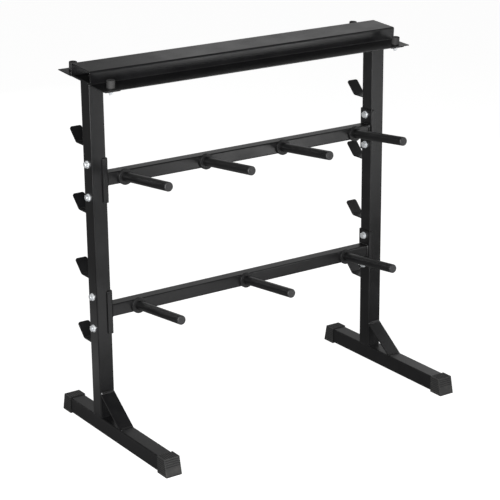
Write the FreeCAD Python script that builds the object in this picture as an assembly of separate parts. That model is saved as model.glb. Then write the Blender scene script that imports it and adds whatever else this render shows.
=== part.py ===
import FreeCAD, Part
import math
import os

# A dumbbell rack: two square uprights on long feet, two cross beams with plate pegs, a bent sheet tray
# on top for dumbbells, and bar hooks up the back of each upright.
# Millimetres. Origin on the floor at the middle of the footprint, +X along the beams, -Y the front.

# ---- overall sizes ----
rack_width = 1100.0        # outer face to outer face of the uprights
tray_height = 1160.0       # floor to the tray's top, over the uprights
foot_front = 394.0         # uprights' centre to the front end of a foot tube
foot_back = 206.0          # uprights' centre to the back end of a foot tube
upper_beam_drop = 347.0    # tray's top down to the centre of the upper beam
lower_beam_gap = 191.6     # gussets' top up to the lower brackets

# ---- tubes ----
post_size = 50.0           # uprights and feet are square tube
post_wall = 2.0
beam_size = 40.0           # cross beams are square tube
beam_wall = 1.5
tube_corner = 4.0          # outside corner radius of every tube

# ---- rubber foot caps ----
cap_wall = 2.4
cap_clearance = 0.2        # all round, between a cap and its tube
cap_sleeve = 34.0          # how far a cap reaches over its tube
cap_end = 5.5              # end wall, at the top
cap_toe = 12.0             # how much further the end reaches at the floor
cap_corner = 3.0
cap_edge = 1.5             # rounding of the top edges
groove_depth = 1.1
groove_width = 2.6
groove_pitch = 6.6
groove_first = 3.9         # cap's top down to the first groove
side_grooves = 7           # grooves round the cap, from the top down
end_grooves = 4            # how many of those run on across the end face
top_grooves = 7

# ---- gussets between uprights and feet ----
gusset_rise = 82.0
gusset_run = 112.0
gusset_thickness = 4.0
gusset_inset = 1.0         # narrower than the upright, on each side

# ---- beam brackets and their bolts ----
bracket_thickness = 4.0
bracket_lap = 15.0         # how far the legs lap over the upright
bracket_clearance = 0.5    # between an upright and each leg
bracket_bend = 1.5         # inside radius
bracket_corner = 5.0
bolt_gap = 31.0            # beam's top or bottom to the centre of each bolt
bracket_margin = 18.0      # bolt centre to the end of the bracket
bolt_diameter = 12.0
bolt_clearance = 0.25      # on radius
bolt_spare = 1.5           # thread past the nut
head_flats = 18.0
head_height = 7.5
nut_height = 7.0
washer_diameter = 24.0
washer_thickness = 2.5
chamfer_angle = 30.0       # degrees, on the corners of bolt heads and nuts
chamfer_circle = 0.95      # of the flats

# ---- plate pegs ----
peg_diameter = 28.6
peg_wall = 2.0
peg_reach = 255.0          # beam face to the tip, along the peg
peg_tilt = 6.0             # degrees, upwards
upper_peg_inset = 65.0     # upright's inner face to the centre of the nearest peg
upper_peg_count = 4
lower_peg_inset = 98.0
lower_peg_count = 3
collar_diameter = 50.0
collar_thickness = 8.0
collar_clearance = 0.2     # on radius
spigot_step = 0.3          # a peg's end is this much thinner where it passes through its collar
spigot_spare = 3.0         # and this far in front of the collar
collar_edge = 1.0
plug_head = 4.0
plug_stem = 14.0
plug_round = 3.0
plug_clearance = 0.1

# ---- bar hooks on the back of the uprights ----
hook_below = 39.0          # bracket's lower end down to the underside of the hook below it
hook_above = 33.0          # bracket's upper end up to the underside of the hook above it
hook_width = 40.0
hook_thickness = 4.0
hook_base = 50.0           # upright to the bend
hook_lip = 55.0
hook_lip_angle = 45.0
hook_bend = 10.0
hook_corner = 7.0

# ---- top tray ----
tray_tilt = 4.0            # degrees, down towards the front
tray_overhang = 12.0       # past the outer face of each upright
tray_ridge = 113.0         # width of the raised part that the dumbbell handles lie on
tray_rise = 42.0           # underside of the flanges to the top of the ridge
tray_flange = 80.0
tray_sheet = 2.5
tray_bend = 3.0
top_plate_thickness = 6.0

# ---- stop posts on the tray and their studs ----
stop_diameter = 25.0
stop_height = 25.0
stop_inset = 24.5          # flange edge to the centre of each post
top_plate_margin = 13.0    # how far a top plate runs past each post's centre
stop_edge = 2.0
stud_diameter = 8.0
stud_clearance = 0.25
stud_depth = 15.0          # moulded into the rubber
stud_spare = 4.0
stud_nut_flats = 13.0
stud_nut_height = 6.5
stud_washer_diameter = 16.0
stud_washer_thickness = 1.6

# ---- worked out from the sizes above ----
cap_reach = cap_end + cap_toe
post_y = (foot_front - foot_back) / 2
foot_bottom = cap_wall
foot_top = foot_bottom + post_size
inner_face = rack_width / 2 - post_size
outer_face = rack_width / 2
post_x = rack_width / 2 - post_size / 2
front_face = post_y - post_size / 2
back_face = post_y + post_size / 2
beam_front = post_y - beam_size / 2
beam_end = inner_face - bracket_thickness
post_top = tray_height - tray_rise - top_plate_thickness
flange_top = top_plate_thickness + tray_sheet
upper_peg_pitch = 2 * (inner_face - upper_peg_inset) / (upper_peg_count - 1)
lower_peg_pitch = 2 * (inner_face - lower_peg_inset) / (lower_peg_count - 1)
bolt_offset = beam_size / 2 + bolt_gap
bracket_height = 2 * (bolt_offset + bracket_margin)
upper_beam_height = tray_height - upper_beam_drop
lower_beam_height = foot_top + gusset_rise + lower_beam_gap + bracket_height / 2
spigot_radius = peg_diameter / 2 - spigot_step
stop_reach = tray_ridge / 2 + tray_flange - stop_inset
top_plate_reach = stop_reach + top_plate_margin
past = 1.0                 # how far a cutting tool runs past what it cuts

V = FreeCAD.Vector
X_AXIS = V(1, 0, 0)
Y_AXIS = V(0, 1, 0)
Z_AXIS = V(0, 0, 1)
SIDES = (("left", -1), ("right", 1))
ENDS = (("front", -1), ("rear", 1))


# ---- shared shapes ----

def block(low, high):
    """A box between two corners."""
    size = high - low
    return Part.makeBox(size.x, size.y, size.z, low)


def edges_along(shape, axis, keep=lambda edge: True):
    """The straight edges of a shape that run along an axis and pass a test."""
    found = []
    for edge in shape.Edges:
        start, end = edge.Vertexes[0].Point, edge.Vertexes[-1].Point
        run = end - start
        if run.Length > 0.1 and run.cross(axis).Length < 1e-6 * run.Length and keep(edge):
            found.append(edge)
    return found


def rounded_bar(low, high, axis, radius):
    """A box with the four edges along one axis rounded."""
    bar = block(low, high)
    return bar.makeFillet(radius, edges_along(bar, axis))


def square_tube(low, high, axis, wall):
    """Square tube between two corners, open at both ends."""
    across = V(1, 1, 1) - axis
    outer = rounded_bar(low, high, axis, tube_corner)
    hollow = rounded_bar(low + across * wall - axis * past, high - across * wall + axis * past,
                         axis, tube_corner - wall)
    return outer.cut(hollow)


def rod(radius, start, direction, length):
    return Part.makeCylinder(radius, length, start, direction)


def ring(outer_radius, inner_radius, start, direction, length):
    hole_start = start - direction * past
    hole = rod(inner_radius, hole_start, direction, length + 2 * past)
    return rod(outer_radius, start, direction, length).cut(hole)


def hexagon(flats, start, direction, length):
    """A hexagonal prism, the blank of a bolt head or a nut."""
    corner = flats / math.sqrt(3)
    points = [V(corner * math.cos(math.radians(60 * i)), corner * math.sin(math.radians(60 * i)), 0)
              for i in range(7)]
    prism = Part.Face(Part.makePolygon(points)).extrude(V(0, 0, length))
    prism.Placement = FreeCAD.Placement(start, FreeCAD.Rotation(Z_AXIS, direction))
    top_radius = chamfer_circle * flats / 2
    base_radius = top_radius + length / math.tan(math.radians(chamfer_angle))
    return prism.common(Part.makeCone(base_radius, top_radius, length, start, direction))


def edge_path(points, radii):
    """Lines through the points with each inner corner rounded to its radius."""
    pieces = []
    here = points[0]
    for i in range(1, len(points) - 1):
        corner, radius = points[i], radii[i - 1]
        arrive = (corner - points[i - 1]).normalize()
        leave = (points[i + 1] - corner).normalize()
        reach = radius * math.tan(arrive.getAngle(leave) / 2)
        start, end = corner - arrive * reach, corner + leave * reach
        inward = (leave - arrive).normalize()
        centre = corner + inward * math.hypot(radius, reach)
        middle = centre - inward * radius
        pieces.append(Part.makeLine(here, start))
        pieces.append(Part.Arc(start, middle, end).toShape())
        here = end
    pieces.append(Part.makeLine(here, points[-1]))
    return pieces


def bent_strip(points, thickness, bend, sweep):
    """Sheet bent along the points, with the thickness laid to their left, seen against the sweep."""
    up = sweep * (1 / sweep.Length)
    runs = [(points[i + 1] - points[i]).normalize() for i in range(len(points) - 1)]
    lefts = [up.cross(run) for run in runs]
    offset = [points[0] + lefts[0] * thickness]
    near_radii, far_radii = [], []
    for i in range(1, len(runs)):
        mitre = (lefts[i - 1] + lefts[i]).normalize()
        offset.append(points[i] + mitre * (thickness / mitre.dot(lefts[i])))
        turns_left = runs[i - 1].cross(runs[i]).dot(up) > 0
        near_radii.append(bend + thickness if turns_left else bend)
        far_radii.append(bend if turns_left else bend + thickness)
    offset.append(points[-1] + lefts[-1] * thickness)
    outline = edge_path(points, near_radii)
    outline.append(Part.makeLine(points[-1], offset[-1]))
    outline += edge_path(offset[::-1], far_radii[::-1])
    outline.append(Part.makeLine(offset[0], points[0]))
    return Part.Face(Part.Wire(outline)).extrude(sweep)


def write(name, *solids):
    """One node: one solid, or a group of identical fasteners."""
    shape = solids[0] if len(solids) == 1 else Part.makeCompound(list(solids))
    shape.exportStep("parts/" + name + ".step")


# ---- feet ----

def foot(side):
    centre = side * post_x
    low = V(centre - post_size / 2, post_y - foot_front, foot_bottom)
    high = V(centre + post_size / 2, post_y + foot_back, foot_top)
    return square_tube(low, high, Y_AXIS, post_wall)


def cap_body(side, end, inset):
    """The outside of a foot cap, drawn in by an inset at its sides and end face."""
    tube_end = post_y + (foot_back if end > 0 else -foot_front)
    half = post_size / 2 + cap_clearance + cap_wall - inset
    top = foot_top + cap_clearance + cap_wall
    rim = tube_end - end * (cap_sleeve + (past if inset else 0))
    profile = [V(0, rim, 0), V(0, tube_end + end * (cap_reach - inset), 0),
               V(0, tube_end + end * (cap_end - inset), top), V(0, rim, top), V(0, rim, 0)]
    body = Part.Face(Part.makePolygon(profile)).extrude(V(2 * half, 0, 0))
    body.translate(V(side * post_x - half, 0, 0))
    return body


def foot_cap(side, end):
    """Rubber cap: a sleeve with a closed, leaning end face and shallow grooves."""
    tube_end = post_y + (foot_back if end > 0 else -foot_front)
    centre = side * post_x
    half = post_size / 2 + cap_clearance + cap_wall
    top = foot_top + cap_clearance + cap_wall
    cap = cap_body(side, end, 0)
    lean = (V(0, tube_end + end * cap_reach, 0) - V(0, tube_end + end * cap_end, top)).normalize()
    cap = cap.makeFillet(cap_corner, edges_along(cap, lean))
    cap = cap.makeFillet(cap_edge, edges_along(cap, Y_AXIS, lambda edge: edge.CenterOfMass.z > top - 0.1))
    core = cap_body(side, end, groove_depth)
    for i in range(side_grooves):
        groove_top = top - groove_first - groove_pitch * i
        reach = past if i < end_grooves else -cap_end
        near, far = tube_end - end * (cap_sleeve + past), tube_end + end * (cap_reach + reach)
        slab = block(V(centre - half - past, min(near, far), groove_top - groove_width),
                     V(centre + half + past, max(near, far), groove_top))
        cap = cap.cut(slab.cut(core))
    gap = 2 * half / (top_grooves + 1)
    for i in range(top_grooves):
        middle = centre - half + gap * (i + 1)
        near, far = tube_end - end * (cap_sleeve + past), tube_end + end * (cap_end - cap_edge)
        cap = cap.cut(block(V(middle - groove_width / 2, min(near, far), top - groove_depth),
                            V(middle + groove_width / 2, max(near, far), top + past)))
    near, far = tube_end - end * (cap_sleeve + past), tube_end + end * cap_clearance
    room = post_size / 2 + cap_clearance
    pocket = rounded_bar(V(centre - room, min(near, far), foot_bottom - cap_clearance),
                         V(centre + room, max(near, far), foot_top + cap_clearance), Y_AXIS, tube_corner)
    return cap.cut(pocket)


# ---- uprights ----

def bolt_heights():
    return [beam + step for beam in (upper_beam_height, lower_beam_height)
            for step in (bolt_offset, -bolt_offset)]


def upright(side):
    """Square tube on the foot, its top cut to the tray's tilt and drilled for the beam bolts."""
    centre = side * post_x
    low = V(centre - post_size / 2, front_face, foot_top)
    high = V(centre + post_size / 2, back_face, post_top + post_size)
    post = square_tube(low, high, Z_AXIS, post_wall)
    above = block(V(centre - post_size, -post_size, 0), V(centre + post_size, post_size, 3 * post_size))
    post = post.cut(tilted(above))
    for height in bolt_heights():
        start = V(centre - post_size / 2 - past, post_y, height)
        post = post.cut(rod(bolt_diameter / 2 + bolt_clearance, start, X_AXIS, post_size + 2 * past))
    return post


def gusset(side):
    """Flat strip that braces the upright's front face to the top of the foot."""
    slant = math.atan2(gusset_rise, gusset_run)
    outline = [V(0, front_face, foot_top + gusset_rise), V(0, front_face - gusset_run, foot_top),
               V(0, front_face - gusset_run + gusset_thickness / math.sin(slant), foot_top),
               V(0, front_face, foot_top + gusset_rise - gusset_thickness / math.cos(slant))]
    width = post_size - 2 * gusset_inset
    strip = Part.Face(Part.makePolygon(outline + outline[:1])).extrude(V(width, 0, 0))
    strip.translate(V(side * post_x - width / 2, 0, 0))
    return strip


# ---- beams, brackets and bolts ----

def beam(height):
    low = V(-beam_end, beam_front, height - beam_size / 2)
    high = V(beam_end, beam_front + beam_size, height + beam_size / 2)
    return square_tube(low, high, X_AXIS, beam_wall)


def bracket(side, height):
    """U-shaped plate that the beam is welded to and that straddles the upright."""
    leg_y = post_size / 2 + bracket_clearance + bracket_thickness
    tip, web = side * (inner_face + bracket_lap), side * beam_end
    points = [V(tip, post_y - side * leg_y, 0), V(web, post_y - side * leg_y, 0),
              V(web, post_y + side * leg_y, 0), V(tip, post_y + side * leg_y, 0)]
    plate = bent_strip(points[::-1], bracket_thickness, bracket_bend, V(0, 0, bracket_height))
    plate.translate(V(0, 0, height - bracket_height / 2))
    corners = edges_along(plate, Y_AXIS, lambda edge: abs(edge.CenterOfMass.x - tip) < 0.1
                          and edge.Length < bracket_thickness + 0.1)
    plate = plate.makeFillet(bracket_corner, corners)
    for step in (bolt_offset, -bolt_offset):
        start = V(min(web, web + side * bracket_thickness) - past, post_y, height + step)
        plate = plate.cut(rod(bolt_diameter / 2 + bolt_clearance, start, X_AXIS,
                              bracket_thickness + 2 * past))
    return plate


def frame_bolt(side, height):
    """Hexagon bolt from the bracket's side out through the upright."""
    outward = X_AXIS * side
    seat = V(side * (beam_end - washer_thickness), post_y, height)
    grip = outer_face - beam_end + 2 * washer_thickness
    shank = rod(bolt_diameter / 2, seat, outward, grip + nut_height + bolt_spare)
    head = hexagon(head_flats, seat, outward * -1, head_height)
    return head.fuse(shank).removeSplitter()


def washer(seat, outward, bore, diameter, thickness):
    return ring(diameter / 2, bore, seat, outward, thickness)


def frame_washers(side, height):
    """One washer under the bolt's head and one under its nut."""
    outward = X_AXIS * side
    bore = bolt_diameter / 2 + bolt_clearance
    inner = V(side * (beam_end - washer_thickness), post_y, height)
    outer = V(side * outer_face, post_y, height)
    return [washer(seat, outward, bore, washer_diameter, washer_thickness) for seat in (inner, outer)]


def nut(seat, outward, flats, height, thread):
    """A nut whose bore just meets the thread."""
    blank = hexagon(flats, seat, outward, height)
    return blank.cut(rod(thread / 2, seat - outward * past, outward, height + 2 * past))


def frame_nut(side, height):
    seat = V(side * (outer_face + washer_thickness), post_y, height)
    return nut(seat, X_AXIS * side, head_flats, nut_height, bolt_diameter)


# ---- pegs ----

peg_direction = V(0, -math.cos(math.radians(peg_tilt)), math.sin(math.radians(peg_tilt)))


def behind_beam_face(root):
    """Everything behind the beam's front face near a peg's root, to trim the peg flush."""
    return block(root - V(peg_diameter, 0, peg_diameter), root + V(peg_diameter, 2 * peg_diameter, peg_diameter))


def peg(root):
    """Tube that leans up from the beam's front face, thinned a little where it passes its collar."""
    start = root - peg_direction * peg_diameter
    bore = peg_diameter / 2 - peg_wall
    shoulder = collar_thickness + spigot_spare
    spigot = ring(spigot_radius, bore, start, peg_direction, peg_diameter + shoulder)
    tube = ring(peg_diameter / 2, bore, root + peg_direction * shoulder, peg_direction,
                peg_reach - plug_head - shoulder)
    return tube.fuse(spigot).cut(behind_beam_face(root))


def peg_collar(root):
    """Thick washer round a peg's root, flat against the beam."""
    outward = Y_AXIS * -1
    disc = rod(collar_diameter / 2, root, outward, collar_thickness)
    rims = [edge for edge in disc.Edges if abs(edge.CenterOfMass.y - root.y + collar_thickness) < 0.1
            and edge.Length > collar_diameter]
    disc = disc.makeFillet(collar_edge, rims)
    return disc.cut(rod(spigot_radius + collar_clearance, root - peg_direction * peg_diameter,
                        peg_direction, 3 * peg_diameter))


def peg_plug(root):
    """Plastic plug with a rounded head, pushed into the peg's open end."""
    seat = root + peg_direction * (peg_reach - plug_head)
    head = rod(peg_diameter / 2, seat, peg_direction, plug_head)
    tip = seat + peg_direction * plug_head
    rims = [edge for edge in head.Edges if (edge.CenterOfMass - tip).Length < 0.1]
    head = head.makeFillet(plug_round, rims)
    stem_radius = peg_diameter / 2 - peg_wall - plug_clearance
    return head.fuse(rod(stem_radius, seat - peg_direction * plug_stem, peg_direction, plug_stem))


def peg_roots(height, pitch, count):
    first = -pitch * (count - 1) / 2
    return [V(first + pitch * i, beam_front, height) for i in range(count)]


# ---- bar hooks ----

def hook_heights():
    """A hook below and a hook above each beam's brackets, from the lowest up."""
    return [height for beam in (lower_beam_height, upper_beam_height)
            for height in (beam - bracket_height / 2 - hook_below, beam + bracket_height / 2 + hook_above)]


def hook(side, height):
    """Bent strip on the back of an upright: a level base and a lip that leans out."""
    lean = math.radians(hook_lip_angle)
    bend = V(0, back_face + hook_base, height)
    tip = bend + V(0, math.cos(lean), math.sin(lean)) * hook_lip
    strip = bent_strip([V(0, back_face, height), bend, tip], hook_thickness, hook_bend, V(hook_width, 0, 0))
    tips = edges_along(strip, V(0, -math.sin(lean), math.cos(lean)),
                       lambda edge: (edge.CenterOfMass - tip).dot(tip - bend) > -1)
    strip = strip.makeFillet(hook_corner, tips)
    strip.translate(V(side * post_x - hook_width / 2, 0, 0))
    return strip


# ---- tray and its stop posts, drawn level over the uprights' centre line and then tilted ----

def tilted(shape):
    """Put a shape that is drawn from the top of the uprights at the tray's tilt."""
    moved = shape.copy()
    turn = FreeCAD.Rotation(X_AXIS, tray_tilt)
    moved.Placement = FreeCAD.Placement(V(0, post_y, post_top), turn).multiply(moved.Placement)
    return moved


def stop_places():
    return [V(side * post_x, end * stop_reach, 0) for name, side in SIDES for end_name, end in ENDS]


def stud_holes(z_low, z_high):
    radius = stud_diameter / 2 + stud_clearance
    return [rod(radius, place + V(0, 0, z_low - past), Z_AXIS, z_high - z_low + 2 * past)
            for place in stop_places()]


def top_plate(side):
    """Plate welded on an upright's top, which the tray is bolted to."""
    plate = block(V(side * post_x - post_size / 2, -top_plate_reach, 0),
                  V(side * post_x + post_size / 2, top_plate_reach, top_plate_thickness))
    for hole in stud_holes(0, top_plate_thickness):
        plate = plate.cut(hole)
    return tilted(plate)


def tray():
    """Sheet bent to a hat section: a raised ridge with a flange along each side."""
    half_length = outer_face + tray_overhang
    ridge, brim = tray_ridge / 2, tray_ridge / 2 + tray_flange
    low, high = top_plate_thickness, top_plate_thickness + tray_rise
    points = [V(-half_length, brim, low + tray_sheet), V(-half_length, ridge, low + tray_sheet),
              V(-half_length, ridge, high), V(-half_length, -ridge, high),
              V(-half_length, -ridge, low + tray_sheet), V(-half_length, -brim, low + tray_sheet)]
    sheet = bent_strip(points, tray_sheet, tray_bend, V(2 * half_length, 0, 0))
    for hole in stud_holes(low, low + tray_sheet):
        sheet = sheet.cut(hole)
    return tilted(sheet)


def stop_post(place):
    """Rubber post that keeps the dumbbells from sliding off the tray's end."""
    base = place + V(0, 0, flange_top)
    post = rod(stop_diameter / 2, base, Z_AXIS, stop_height)
    post = post.makeFillet(stop_edge, [edge for edge in post.Edges
                                       if edge.CenterOfMass.z > base.z + stop_height - 0.1])
    return tilted(post.cut(rod(stud_diameter / 2, base - V(0, 0, past), Z_AXIS, stud_depth + past)))


def tray_stud(place):
    length = stud_depth + flange_top + stud_washer_thickness + stud_nut_height + stud_spare
    top = place + V(0, 0, flange_top + stud_depth)
    return tilted(rod(stud_diameter / 2, top, Z_AXIS * -1, length))


def tray_washer(place):
    bore = stud_diameter / 2 + stud_clearance
    return tilted(washer(place, Z_AXIS * -1, bore, stud_washer_diameter, stud_washer_thickness))


def tray_nut(place):
    seat = place - V(0, 0, stud_washer_thickness)
    return tilted(nut(seat, Z_AXIS * -1, stud_nut_flats, stud_nut_height, stud_diameter))


# ---- write every node ----

os.makedirs("parts", exist_ok=True)

for side_name, side in SIDES:
    write(side_name + "_upright", upright(side))
    write(side_name + "_foot", foot(side))
    write(side_name + "_gusset", gusset(side))
    write(side_name + "_top_plate", top_plate(side))
    write("upper_" + side_name + "_bracket", bracket(side, upper_beam_height))
    write("lower_" + side_name + "_bracket", bracket(side, lower_beam_height))
    for end_name, end in ENDS:
        write(side_name + "_" + end_name + "_foot_cap", foot_cap(side, end))
    for i, height in enumerate(hook_heights()):
        write(side_name + "_hook_" + str(i + 1), hook(side, height))

write("upper_beam", beam(upper_beam_height))
write("lower_beam", beam(lower_beam_height))
upper_roots = peg_roots(upper_beam_height, upper_peg_pitch, upper_peg_count)
lower_roots = peg_roots(lower_beam_height, lower_peg_pitch, lower_peg_count)
for row_name, roots in (("upper", upper_roots), ("lower", lower_roots)):
    for i, root in enumerate(roots):
        write(row_name + "_peg_" + str(i + 1), peg(root))
        write(row_name + "_peg_collar_" + str(i + 1), peg_collar(root))
        write(row_name + "_peg_plug_" + str(i + 1), peg_plug(root))

joints = [(side, height) for name, side in SIDES for height in bolt_heights()]
write("frame_bolts", *[frame_bolt(side, height) for side, height in joints])
write("frame_washers", *[ring_pair for side, height in joints for ring_pair in frame_washers(side, height)])
write("frame_nuts", *[frame_nut(side, height) for side, height in joints])

write("tray", tray())
post_names = [side_name + "_" + end_name for side_name, side in SIDES for end_name, end in ENDS]
for name, place in zip(post_names, stop_places()):
    write(name + "_stop_post", stop_post(place))
write("tray_studs", *[tray_stud(place) for place in stop_places()])
write("tray_washers", *[tray_washer(place) for place in stop_places()])
write("tray_nuts", *[tray_nut(place) for place in stop_places()])
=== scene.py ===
import math

import bmesh
import bpy
from mathutils import Matrix, Vector


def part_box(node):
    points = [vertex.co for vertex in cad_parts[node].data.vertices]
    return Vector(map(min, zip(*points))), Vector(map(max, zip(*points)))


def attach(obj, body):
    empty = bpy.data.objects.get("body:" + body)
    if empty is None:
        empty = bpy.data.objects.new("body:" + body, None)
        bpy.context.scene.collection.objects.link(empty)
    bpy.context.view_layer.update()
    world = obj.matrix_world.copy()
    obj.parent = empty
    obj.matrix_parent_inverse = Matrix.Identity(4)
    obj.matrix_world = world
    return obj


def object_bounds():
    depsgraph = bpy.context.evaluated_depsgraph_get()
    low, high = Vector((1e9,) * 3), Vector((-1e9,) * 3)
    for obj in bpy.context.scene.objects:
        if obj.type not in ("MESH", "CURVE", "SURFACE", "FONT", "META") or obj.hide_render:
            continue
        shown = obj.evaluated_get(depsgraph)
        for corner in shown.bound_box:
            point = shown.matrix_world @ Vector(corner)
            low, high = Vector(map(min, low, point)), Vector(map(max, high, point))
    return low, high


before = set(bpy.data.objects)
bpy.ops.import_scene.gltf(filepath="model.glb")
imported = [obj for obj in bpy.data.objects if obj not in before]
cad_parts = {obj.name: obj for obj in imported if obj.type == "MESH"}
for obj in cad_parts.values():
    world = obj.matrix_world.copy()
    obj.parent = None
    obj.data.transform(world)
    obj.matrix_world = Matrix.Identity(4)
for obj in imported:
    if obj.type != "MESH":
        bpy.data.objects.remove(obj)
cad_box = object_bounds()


# ---- Uprights ----
# Two 50 mm square steel tubes with 2 mm walls and drawn corners. They are sprayed with black
# polyester powder, which melts in the oven into a satin skin of about 0.08 mm.

coat_black = "#0c0c0d"        # the powder's own colour, nearly neutral
coat_hazed = "#121213"        # where handling has left the film a little duller
coat_thin = "#343435"         # on sharp edges, where the film draws back
coat_rubbed = "#242425"       # polished tops that plates, bars and dumbbells slide over
coat_gloss = 0.30             # roughness of satin polyester
coat_gloss_worn = 0.24        # polished by use
peel_length = 0.0045          # orange peel, from crest to crest
flow_length = 0.038           # slower waves from the thickness of the film
haze_length = 0.085           # hand-sized patches
scuff_length = 0.006
edge_radius = 0.0011          # the film rounds every cut edge
edge_turn = (0.9, 0.72)       # cosine of the turn where the film starts to thin, and is thinnest
edge_cover = 0.6              # how much of the edge colour shows at the thinnest: thin-film grey on the frame, a painted highlight on the tray
top_tilt = (0.8, 0.99)        # rise of the normal where rubbing starts, and is full
scuff_fade = (0.52, 0.66)     # levels of each pattern between which its marks come in
haze_fade = (0.4, 0.68)
dull_fade = (0.35, 0.7)
gloss_spread = 0.08
flow_height = 0.00012
peel_height = 0.00003


def linear(hex_colour):
    """sRGB hex to the linear values that shaders use."""
    channels = [int(hex_colour[i:i + 2], 16) / 255 for i in (1, 3, 5)]
    return [c / 12.92 if c <= 0.04045 else ((c + 0.055) / 1.055) ** 2.4 for c in channels] + [1.0]


def add(tree, kind, settings=None, links=None):
    """Add a node. Settings go on its sockets or itself, and links give a socket, by its name or
    number, and what feeds it."""
    node = tree.nodes.new("ShaderNode" + kind)
    for name, value in (settings or {}).items():
        if name in node.inputs:
            node.inputs[name].default_value = value
        else:
            setattr(node, name, value)
    for socket, source in (links or {}).items():
        tree.links.new(source, node.inputs[socket])
    return node


def start_material(name):
    """An empty material, its tree and the place on the object in metres."""
    material = bpy.data.materials.new(name)
    material.use_nodes = True
    tree = material.node_tree
    tree.nodes.clear()
    return material, tree, add(tree, "TexCoord").outputs["Object"]


def finish_material(tree, settings, links):
    """The surface shader that ends every material here."""
    shader = add(tree, "BsdfPrincipled", settings, links)
    add(tree, "OutputMaterial", links={"Surface": shader.outputs["BSDF"]})


def powder_coat(name, rubbing, edges=coat_thin, gloss_at=coat_gloss):
    """Satin black powder coat: soft highlights broken by orange peel, dull hand marks, and edges in
    the given colour: thin-film grey on the frame, a painted highlight on the tray. Rubbing, from 0
    to 1, polishes what faces up."""
    material, tree, place = start_material(name)
    peel = add(tree, "TexNoise", {"Scale": 1 / peel_length, "Detail": 1.5}, {"Vector": place})
    flow = add(tree, "TexNoise", {"Scale": 1 / flow_length, "Detail": 1.0}, {"Vector": place})
    haze = add(tree, "TexNoise", {"Scale": 1 / haze_length, "Detail": 4.0, "Roughness": 0.6},
               {"Vector": place})
    scuffs = add(tree, "TexNoise", {"Scale": 1 / scuff_length, "Detail": 5.0, "Roughness": 0.7},
                 {"Vector": place})

    rounded = add(tree, "Bevel", {"samples": 4, "Radius": edge_radius})
    surface = add(tree, "NewGeometry")
    turned = add(tree, "VectorMath", {"operation": "DOT_PRODUCT"},
                 {0: rounded.outputs["Normal"], 1: surface.outputs["Normal"]})
    edge = add(tree, "MapRange",
               {"From Min": edge_turn[0], "From Max": edge_turn[1], "To Max": edge_cover},
               {"Value": turned.outputs["Value"]})

    facing = add(tree, "SeparateXYZ", links={"Vector": surface.outputs["Normal"]})
    upward = add(tree, "MapRange",
                 {"From Min": top_tilt[0], "From Max": top_tilt[1], "To Max": rubbing},
                 {"Value": facing.outputs["Z"]})
    scuffed = add(tree, "MapRange", {"From Min": scuff_fade[0], "From Max": scuff_fade[1]},
                  {"Value": scuffs.outputs["Fac"]})
    rubbed = add(tree, "Math", {"operation": "MULTIPLY"},
                 {0: upward.outputs["Result"], 1: scuffed.outputs["Result"]})

    hazed = add(tree, "MapRange", {"From Min": haze_fade[0], "From Max": haze_fade[1]},
                {"Value": haze.outputs["Fac"]})
    film = add(tree, "MixRGB", {"Color1": linear(coat_black), "Color2": linear(coat_hazed)},
               {"Fac": hazed.outputs["Result"]})
    worn = add(tree, "MixRGB", {"Color2": linear(coat_rubbed)},
               {"Fac": rubbed.outputs["Value"], "Color1": film.outputs["Color"]})
    colour = add(tree, "MixRGB", {"Color2": linear(edges)},
                 {"Fac": edge.outputs["Result"], "Color1": worn.outputs["Color"]})
    dull = add(tree, "MapRange", {"From Min": dull_fade[0], "From Max": dull_fade[1],
                                  "To Min": gloss_at, "To Max": gloss_at + gloss_spread},
               {"Value": haze.outputs["Fac"]})
    gloss = add(tree, "Mix", {"data_type": "FLOAT", "B": coat_gloss_worn},
                {"Factor": rubbed.outputs["Value"], "A": dull.outputs["Result"]})

    waves = add(tree, "Bump", {"Strength": 1.0, "Distance": flow_height},
                {"Height": flow.outputs["Fac"], "Normal": rounded.outputs["Normal"]})
    skin = add(tree, "Bump", {"Strength": 1.0, "Distance": peel_height},
               {"Height": peel.outputs["Fac"], "Normal": waves.outputs["Normal"]})
    finish_material(tree, {"IOR": 1.5},
                    {"Base Color": colour.outputs["Color"], "Roughness": gloss.outputs["Result"],
                     "Normal": skin.outputs["Normal"]})
    return material


def finish_parts(material, *names):
    """Give parts that come from the model their finish."""
    for name in names:
        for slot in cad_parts[name].material_slots:
            slot.material = material


frame_coat = powder_coat("satin_black_powder_coat", rubbing=0.0)
finish_parts(frame_coat, "left_upright", "right_upright")


# ---- Feet and gussets ----
# Each foot is a length of the same square tube with an upright welded on top, and a flat steel
# strip at a slant braces the corner. The beads are laid by MIG welding and coated with the frame.

tube_corner = 0.004           # outside radius of the square tubes
bead_step = 0.0008            # mesh spacing along a bead
ripple_pitch = 0.0036         # real ripples are about 2 mm; drawn coarser so that they show
ripple_height = 0.16          # of the bead's leg
ripple_lag = 0.45             # how far the middle of the puddle trails, in ripples
bead_crown = 0.16             # how much flatter than a quarter circle a fillet sets
bead_sink = 0.0002            # toes melt into the plate
bead_blunt = 0.15             # of the leg; how blunt a bead is where it starts and stops
bead_inset = 0.001            # how far a bead stops from the edge of a plate
ripple_level = 0.6            # mean of the ripples, taken off so that the leg stays true
fillet_points = 8             # across a bead
seam_points = 11
foot_leg = 0.0042
gusset_leg = 0.006
seam_leg = 0.0021             # flush seams, nearly level with the tube's sides
seam_proud = 0.0007           # how far they stand out of those sides
seam_drop = 0.0009            # and how far below the joint their middles lie

finish_parts(frame_coat, "left_foot", "right_foot", "left_gusset", "right_gusset")


def straight(start, end, one, other):
    """Stations of a straight weld: the corner, and the ways the two joined surfaces leave it."""
    start, end = Vector(start), Vector(end)
    count = round((end - start).length / bead_step)
    return [(start.lerp(end, i / count), Vector(one), Vector(other)) for i in range(count + 1)]


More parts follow.
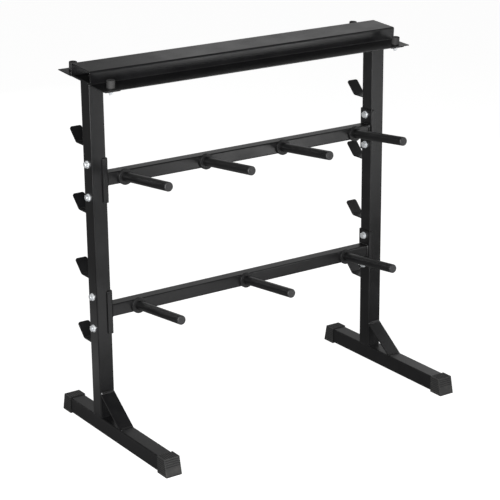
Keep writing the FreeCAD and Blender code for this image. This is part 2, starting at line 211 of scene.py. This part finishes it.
def round_tube(centre, wide, high, half_wide, half_high, corner, off):
    """Stations round a tube that stands on a plate. Wide and high lie in the plate, and off is
    the way the tube leaves it."""
    centre, wide, high, off = Vector(centre), Vector(wide), Vector(high), Vector(off)
    stations = []
    for quarter in range(4):
        across = half_wide - corner if quarter in (0, 3) else corner - half_wide
        along = half_high - corner if quarter in (0, 1) else corner - half_high
        middle = centre + wide * across + high * along
        steps = round(corner * math.pi / 2 / bead_step)
        for i in range(steps):
            angle = (quarter + i / steps) * math.pi / 2
            outward = wide * math.cos(angle) + high * math.sin(angle)
            stations.append((middle + outward * corner, off, outward))
        angle = (quarter + 1) * math.pi / 2
        outward = wide * math.cos(angle) + high * math.sin(angle)
        onward = high * math.cos(angle) - wide * math.sin(angle)
        side = 2 * ((half_wide if quarter % 2 == 0 else half_high) - corner)
        steps = round(side / bead_step)
        for i in range(steps):
            stations.append((middle + outward * corner + onward * side * i / steps, off, outward))
    return stations


def weld(beads, stations, leg, closed=False, sweep=90):
    """Add one bead to the mesh. A fillet sweeps 90 degrees from one surface to the other, and a
    flush seam 180. Each pulse of the arc leaves a ripple, which lags in the middle."""
    gaps = [(b[0] - a[0]).length for a, b in zip(stations, stations[1:])]
    length = sum(gaps) + (closed and (stations[0][0] - stations[-1][0]).length)
    ripples = max(1, round(length / ripple_pitch))
    points = fillet_points if sweep == 90 else seam_points
    travelled = 0.0
    rings = []
    for i, (corner, one, other) in enumerate(stations):
        if i:
            travelled += gaps[i - 1]
        to_end = min(travelled, length - travelled)
        size = leg if closed else leg * min(1.0, math.sqrt((to_end + bead_blunt * leg) / leg))
        ring = [beads.verts.new(corner - (one + other) * bead_sink * 2)] if sweep == 90 else []
        for j in range(points):
            part = j / (points - 1)
            angle = math.radians(sweep * part)
            phase = travelled / length * ripples - ripple_lag * math.sin(math.pi * part)
            pulse = abs(math.sin(math.pi * phase)) - ripple_level
            ripple = ripple_height * pulse * math.sin(math.pi * part)
            flat = bead_crown * math.sin(2 * angle) if sweep == 90 else 0
            reach = size * (1 + ripple) * (1 - flat)
            toe = bead_sink * (1 - math.sin(math.pi * part))
            ring.append(beads.verts.new(corner + one * (reach * math.cos(angle))
                                        + other * (reach * math.sin(angle)) - (one + other) * toe))
        rings.append(ring)
    count = len(rings[0])
    for i in range(len(rings) if closed else len(rings) - 1):
        here, there = rings[i], rings[(i + 1) % len(rings)]
        for j in range(count):
            k = (j + 1) % count
            beads.faces.new((here[j], here[k], there[k], there[j]))
    if not closed:
        beads.faces.new(rings[0])
        beads.faces.new(rings[-1])


def keep_welds(name, beads):
    """Turn the beads into a piece with the frame's powder coat over it."""
    bmesh.ops.recalc_face_normals(beads, faces=beads.faces)
    mesh = bpy.data.meshes.new(name)
    beads.to_mesh(mesh)
    beads.free()
    mesh.shade_smooth()
    mesh.materials.append(frame_coat)
    piece = bpy.data.objects.new(name, mesh)
    bpy.context.scene.collection.objects.link(piece)
    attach(piece, "root")


beads = bmesh.new()
for side in ("left", "right"):
    low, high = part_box(side + "_upright")
    weld(beads, straight((low[0] + tube_corner, high[1], low[2]),
                         (high[0] - tube_corner, high[1], low[2]), (0, 0, 1), (0, 1, 0)), foot_leg)
    for face, outward in ((low[0], -1), (high[0], 1)):
        inside = face - outward * (seam_leg - seam_proud)
        weld(beads, straight((inside, low[1] + tube_corner, low[2] - seam_drop),
                             (inside, high[1] - tube_corner, low[2] - seam_drop),
                             (0, 0, -1), (outward, 0, 0)), seam_leg, sweep=180)

    low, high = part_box(side + "_gusset")
    slope = Vector((0, low[1] - high[1], low[2] - high[2])).normalized()
    left, right = low[0] + bead_inset, high[0] - bead_inset
    weld(beads, straight((left, high[1], high[2]), (right, high[1], high[2]), (0, 0, 1), slope),
         gusset_leg)
    weld(beads, straight((left, low[1], low[2]), (right, low[1], low[2]), (0, -1, 0), -slope),
         gusset_leg)
keep_welds("foot_welds", beads)


# ---- Foot caps ----
# Moulded rubber boots pushed over the ends of the feet, with ribs that grip the floor and the
# hand. The mould is grit-blasted, so the rubber comes out matt and picks up dust.

rubber_black = "#292929"
rubber_dusty = "#373635"
groove_painted_shade = "#070707"     # painted shade, drawn near black in the bottoms of the grooves
groove_reach = 0.004          # how near the walls of a groove are
groove_shade_fade = (0.97, 0.8)     # occlusion levels where the painted groove shade starts, and is darkest
rubber_dull = (0.66, 0.82)
rubber_grain = 0.0016         # a 0.4 mm blasted grain, drawn four times as coarse so that it shows
grain_height = 0.00006
rubber_edge = 0.0008          # the mould's edges are slightly rounded
dust_length = 0.022
dust_fade = (0.48, 0.7)

material, tree, place = start_material("matt_moulded_rubber")
grain = add(tree, "TexNoise", {"Scale": 1 / rubber_grain, "Detail": 3.0}, {"Vector": place})
dust = add(tree, "TexNoise", {"Scale": 1 / dust_length, "Detail": 5.0, "Roughness": 0.65},
           {"Vector": place})
dusty = add(tree, "MapRange", {"From Min": dust_fade[0], "From Max": dust_fade[1]},
            {"Value": dust.outputs["Fac"]})
colour = add(tree, "MixRGB", {"Color1": linear(rubber_black), "Color2": linear(rubber_dusty)},
             {"Fac": dusty.outputs["Result"]})
# Painted shade: ambient occlusion darkens the grooves between the ribs, standing in for the shade
# inside them.
open_sky = add(tree, "AmbientOcclusion", {"samples": 8, "Distance": groove_reach})
groove_shade_mask = add(tree, "MapRange", {"From Min": groove_shade_fade[0], "From Max": groove_shade_fade[1]},
           {"Value": open_sky.outputs["AO"]})
colour = add(tree, "MixRGB", {"Color2": linear(groove_painted_shade)},
             {"Fac": groove_shade_mask.outputs["Result"], "Color1": colour.outputs["Color"]})
dull = add(tree, "MapRange", {"To Min": rubber_dull[0], "To Max": rubber_dull[1]},
           {"Value": dust.outputs["Fac"]})
soft_edge = add(tree, "Bevel", {"samples": 4, "Radius": rubber_edge})
relief = add(tree, "Bump", {"Strength": 1.0, "Distance": grain_height},
             {"Height": grain.outputs["Fac"], "Normal": soft_edge.outputs["Normal"]})
finish_material(tree, {"IOR": 1.52},
                {"Base Color": colour.outputs["Color"], "Roughness": dull.outputs["Result"],
                 "Normal": relief.outputs["Normal"]})
moulded_rubber = material
corners = [side + end for side in ("left_", "right_") for end in ("front_", "rear_")]
finish_parts(moulded_rubber, *[corner + "foot_cap" for corner in corners])


# ---- Beams and brackets ----
# Two 40 mm square tubes span the uprights. Each end is welded all round to a bent plate bracket,
# and the brackets wrap the uprights so that two bolts go through both.

beam_leg = 0.0045

finish_parts(frame_coat, "upper_beam", "lower_beam", "upper_left_bracket", "upper_right_bracket",
             "lower_left_bracket", "lower_right_bracket")

beads = bmesh.new()
for level in ("upper", "lower"):
    low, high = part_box(level + "_beam")
    middle_y, middle_z = (low[1] + high[1]) / 2, (low[2] + high[2]) / 2
    for end, inward in ((low[0], 1), (high[0], -1)):
        around = round_tube((end, middle_y, middle_z), (0, 1, 0), (0, 0, 1),
                            (high[1] - low[1]) / 2, (high[2] - low[2]) / 2, tube_corner,
                            (inward, 0, 0))
        weld(beads, around, beam_leg, closed=True)
keep_welds("bracket_welds", beads)


# ---- Bolts, washers and nuts ----
# Cold-forged M12 hex bolts with flat washers, zinc-plated and passivated. Under the clear film the
# plating is bright but not polished, with the faint drag marks of the tumbling barrel.

zinc_bright = "#e8eaeb"
zinc_cool = "#d2d6da"
zinc_gloss = (0.26, 0.42)
zinc_metal = 0.6              # of the light; the clear film scatters the rest
zinc_edge = 0.0006            # forged and plated edges are never sharp
drag_length = 0.0015
drag_stretch = 0.22           # the marks run 4.5 times as far up and down as across
drag_depth = 0.00002
cloud_length = 0.009
cloud_fade = (0.35, 0.7)

material, tree, place = start_material("bright_zinc_plate")
stretched = add(tree, "Mapping", {"Scale": (1.0, 1.0, drag_stretch)}, {"Vector": place})
drag = add(tree, "TexNoise", {"Scale": 1 / drag_length, "Detail": 3.0},
           {"Vector": stretched.outputs["Vector"]})
cloud = add(tree, "TexNoise", {"Scale": 1 / cloud_length, "Detail": 3.0}, {"Vector": place})
clouded = add(tree, "MapRange", {"From Min": cloud_fade[0], "From Max": cloud_fade[1]},
              {"Value": cloud.outputs["Fac"]})
colour = add(tree, "MixRGB", {"Color1": linear(zinc_bright), "Color2": linear(zinc_cool)},
             {"Fac": clouded.outputs["Result"]})
gloss = add(tree, "MapRange", {"To Min": zinc_gloss[0], "To Max": zinc_gloss[1]},
            {"Value": drag.outputs["Fac"]})
rolled_edge = add(tree, "Bevel", {"samples": 4, "Radius": zinc_edge})
marks = add(tree, "Bump", {"Strength": 1.0, "Distance": drag_depth},
            {"Height": drag.outputs["Fac"], "Normal": rolled_edge.outputs["Normal"]})
finish_material(tree, {"Metallic": zinc_metal},
                {"Base Color": colour.outputs["Color"], "Roughness": gloss.outputs["Result"],
                 "Normal": marks.outputs["Normal"]})
zinc_plate = material
finish_parts(zinc_plate, "frame_bolts", "frame_washers", "frame_nuts")


# ---- Pegs and collars ----
# Steel tube pegs, tilted up a little, pass through flat collars and are welded from behind, so
# the roots are clean. Plates slide on and off them, so the coat on top has a faint polish.

handled = 0.35                # how far sliding has polished the tops, from 0 to 1
collar_gloss = 0.5            # turned faces under the coat leave it duller

handled_coat = powder_coat("handled_black_powder_coat", rubbing=handled)
pegs = ["upper_peg_" + str(i) for i in (1, 2, 3, 4)] + ["lower_peg_" + str(i) for i in (1, 2, 3)]
finish_parts(handled_coat, *pegs)
collar_coat = powder_coat("collar_black_powder_coat", rubbing=0.0, gloss_at=collar_gloss)
finish_parts(collar_coat, *[name.replace("peg", "peg_collar") for name in pegs])


# ---- Peg plugs ----
# Round polyethylene plugs pressed into the pegs' open ends. They are moulded in black with a fine
# spark-eroded texture, so they look greyer and flatter than the coat.

plug_black = "#202021"
plug_grey = "#2a2a2b"
spark_grain = 0.0012          # a 0.3 mm texture, drawn four times as coarse so that it shows
spark_depth = 0.00004
plug_mottle = 0.007           # patches left by the flow of the melt
plug_dull = (0.42, 0.56)

material, tree, place = start_material("moulded_polyethylene")
grain = add(tree, "TexVoronoi", {"Scale": 1 / spark_grain}, {"Vector": place})
shade = add(tree, "TexNoise", {"Scale": 1 / plug_mottle, "Detail": 4.0}, {"Vector": place})
colour = add(tree, "MixRGB", {"Color1": linear(plug_black), "Color2": linear(plug_grey)},
             {"Fac": shade.outputs["Fac"]})
dull = add(tree, "MapRange", {"To Min": plug_dull[0], "To Max": plug_dull[1]},
           {"Value": shade.outputs["Fac"]})
relief = add(tree, "Bump", {"Strength": 1.0, "Distance": spark_depth},
             {"Height": grain.outputs["Distance"]})
finish_material(tree, {"IOR": 1.51},
                {"Base Color": colour.outputs["Color"], "Roughness": dull.outputs["Result"],
                 "Normal": relief.outputs["Normal"]})
finish_parts(material, *[name.replace("peg", "peg_plug") for name in pegs])


# ---- Bar hooks ----
# Four 40 mm wide flat steel hooks up the back of each upright, bent once and welded above and
# below. Bars rub the inside of the bend.

hook_thickness = 0.004
hook_leg = 0.0034

hooks = [side + "_hook_" + str(i) for side in ("left", "right") for i in (1, 2, 3, 4)]
finish_parts(handled_coat, *hooks)

beads = bmesh.new()
for hook in hooks:
    low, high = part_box(hook)
    for z, away in ((low[2], -1), (low[2] + hook_thickness, 1)):
        weld(beads, straight((low[0] + bead_inset, low[1], z), (high[0] - bead_inset, low[1], z),
                             (0, 0, away), (0, 1, 0)), hook_leg)
keep_welds("hook_welds", beads)


# ---- Top plates ----
# A 6 mm steel plate welded across the sloping top of each upright carries the tray. The tube is
# as wide as the plate, so the beads run across it at front and back and the sides are flush.

tray_slope = math.radians(4)
plate_leg = 0.004
plate_seam = 0.0013

finish_parts(frame_coat, "left_top_plate", "right_top_plate")

beads = bmesh.new()
for side in ("left", "right"):
    low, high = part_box(side + "_upright")
    front_top = high[2] - (high[1] - low[1]) * math.tan(tray_slope)
    for y, z, away in ((low[1], front_top, -1), (high[1], high[2], 1)):
        along_plate = (0, away * math.cos(tray_slope), away * math.sin(tray_slope))
        weld(beads, straight((low[0] + tube_corner, y, z), (high[0] - tube_corner, y, z),
                             (0, 0, -1), along_plate), plate_leg)
    for face, outward in ((low[0], -1), (high[0], 1)):
        inside = face - outward * (plate_seam - seam_proud)
        weld(beads, straight((inside, low[1] + tube_corner, front_top),
                             (inside, high[1] - tube_corner, high[2]), (0, 0, -1), (outward, 0, 0)),
             plate_seam, sweep=180)
keep_welds("top_plate_welds", beads)


# ---- Tray ----
# A 2.5 mm steel sheet, bent to a raised ridge with a flange along each side, lies on the top
# plates and holds the dumbbells. Moulded rubber stop posts stand at its four corners, held down by
# zinc studs.

cut_edge_painted_highlight = "#7c7c7d"          # painted highlight: the sheared edges are drawn light grey so that they glint; the powder is also thin there

# The tray's sheared edges carry a painted highlight in place of their glint.
finish_parts(powder_coat("tray_powder_coat_with_painted_edge_highlight", rubbing=handled, edges=cut_edge_painted_highlight), "tray")
finish_parts(moulded_rubber, *[corner + "stop_post" for corner in corners])
finish_parts(zinc_plate, "tray_studs", "tray_washers", "tray_nuts")


# ---- Floor ----
# A plain white studio floor of matt acrylic sheet, lit evenly from beneath, so it stays white
# right into the distance and takes only a faint soft shadow. The paint doesn't pick it up.

floor_white = "#959594"       # what the sheet itself gives back; the rest is its glow
floor_shade = "#8f8f8e"
floor_glow = 0.95
floor_half = 30.0
frost_length = 0.012          # real frosting is finer; drawn coarse enough to show close up
frost_height = 0.00005

material, tree, place = start_material("frosted_white_acrylic")
frost = add(tree, "TexNoise", {"Scale": 1 / frost_length, "Detail": 2.0}, {"Vector": place})
colour = add(tree, "MixRGB", {"Color1": linear(floor_white), "Color2": linear(floor_shade)},
             {"Fac": frost.outputs["Fac"]})
relief = add(tree, "Bump", {"Strength": 0.3, "Distance": frost_height},
             {"Height": frost.outputs["Fac"]})
finish_material(tree, {"IOR": 1.49, "Roughness": 0.85, "Specular IOR Level": 0.2,
                       "Emission Color": (1, 1, 1, 1), "Emission Strength": floor_glow},
                {"Base Color": colour.outputs["Color"], "Normal": relief.outputs["Normal"]})

sheet = bmesh.new()
bmesh.ops.create_grid(sheet, x_segments=4, y_segments=4, size=floor_half)
mesh = bpy.data.meshes.new("floor")
sheet.to_mesh(mesh)
sheet.free()
mesh.materials.append(material)
floor = bpy.data.objects.new("floor", mesh)
floor.location = (0, 0, cad_box[0][2])
bpy.context.scene.collection.objects.link(floor)
floor.visible_glossy = False
floor.visible_diffuse = False


# ---- Light ----
# Soft studio light: a large box in front on the left, low reflectors that the paint picks up,
# panels behind on the right that grey the tops, and fills for the right side and the back. The
# room is dim, but seen white.


def softbox(name, place, aim, wide, high, power):
    """A flat diffused light that points at a place and isn't seen itself. Its power is in watts."""
    lamp = bpy.data.lights.new(name, "AREA")
    lamp.shape = "RECTANGLE"
    lamp.size = wide
    lamp.size_y = high
    lamp.energy = power
    light = bpy.data.objects.new(name, lamp)
    light.location = place
    light.rotation_euler = (Vector(aim) - Vector(place)).to_track_quat("-Z", "Y").to_euler()
    light.visible_camera = False
    bpy.context.scene.collection.objects.link(light)


softbox("front_left_box", (-2.2, -2.6, 1.5), (-0.3, 0.0, 0.6), 1.5, 1.5, 193)
softbox("front_right_strip", (1.5, -2.1, 0.35), (0.0, 0.0, 0.7), 1.0, 0.6, 8.3)
softbox("front_reflector", (-0.1, -0.9, 0.02), (-0.1, -0.9, 1.0), 0.9, 0.9, 2.6)
softbox("front_right_reflector", (0.7, -1.05, 0.02), (0.7, -1.05, 1.0), 0.6, 0.6, 1.2)
softbox("left_reflector", (-1.0, 0.75, 0.02), (-1.0, 0.75, 1.0), 0.7, 0.7, 0.4)
softbox("left_foot_reflector", (-0.86, 0.15, 0.012), (-0.86, 0.15, 1.0), 0.5, 1.0, 0.22)
softbox("right_box", (2.4, -1.0, 1.6), (0.4, 0.0, 0.7), 1.4, 1.4, 12)
softbox("rear_right_panel", (2.0, 2.6, 1.4), (0.0, 0.0, 0.9), 2.6, 2.0, 4.6)
softbox("rear_top_panel", (1.3, 1.6, 2.2), (0.0, 0.0, 1.1), 1.2, 1.0, 1.5)
softbox("right_rear_panel", (3.0, 1.6, 1.0), (0.3, 0.0, 0.5), 1.5, 1.5, 4.4)
softbox("right_fill", (4.0, -0.1, 0.9), (0.3, 0.0, 0.6), 1.6, 1.6, 28)
softbox("rear_fill", (0.0, 4.5, 0.8), (0.0, 0.0, 0.6), 1.4, 1.2, 30)

room_fill = 0.05
room_reflected = 0.14         # what the paint picks up
room_seen = 1.0

world = bpy.data.worlds.new("studio")
bpy.context.scene.world = world
world.use_nodes = True
tree = world.node_tree
tree.nodes.clear()
path = add(tree, "LightPath")
fill = add(tree, "Background", {"Color": (1, 1, 1, 1), "Strength": room_fill})
reflected = add(tree, "Background", {"Color": (1, 1, 1, 1), "Strength": room_reflected})
seen = add(tree, "Background", {"Color": (1, 1, 1, 1), "Strength": room_seen})
soft = add(tree, "MixShader", links={"Fac": path.outputs["Is Glossy Ray"],
                                     1: fill.outputs["Background"],
                                     2: reflected.outputs["Background"]})
whole = add(tree, "MixShader", links={"Fac": path.outputs["Is Camera Ray"],
                                      1: soft.outputs["Shader"], 2: seen.outputs["Background"]})
add(tree, "OutputWorld", links={"Surface": whole.outputs["Shader"]})
bpy.context.scene.view_settings.view_transform = "Standard"


# ---- Camera ----
# A long lens looks from the front left, a little above the tray. The rack fills the frame, and
# its uprights lean together only slightly.

view_turn = math.radians(-34.2)
view_rise = math.radians(18.35)
view_roll = math.radians(-0.52)
view_distance = 5.381
view_aim = Vector((-0.0338, -0.0010, 0.5220))
view_lens = 123.05            # in millimetres, over a 36 mm frame

camera = bpy.data.objects.new("camera", bpy.data.cameras.new("camera"))
camera.data.lens = view_lens
camera.data.sensor_width = 36.0
back = Vector((math.sin(view_turn) * math.cos(view_rise),
               -math.cos(view_turn) * math.cos(view_rise),
               math.sin(view_rise)))
camera.location = view_aim + back * view_distance
camera.rotation_euler = (back.to_track_quat("Z", "Y").to_matrix()
                         @ Matrix.Rotation(view_roll, 3, "Z")).to_euler()
bpy.context.scene.collection.objects.link(camera)
bpy.context.scene.camera = camera
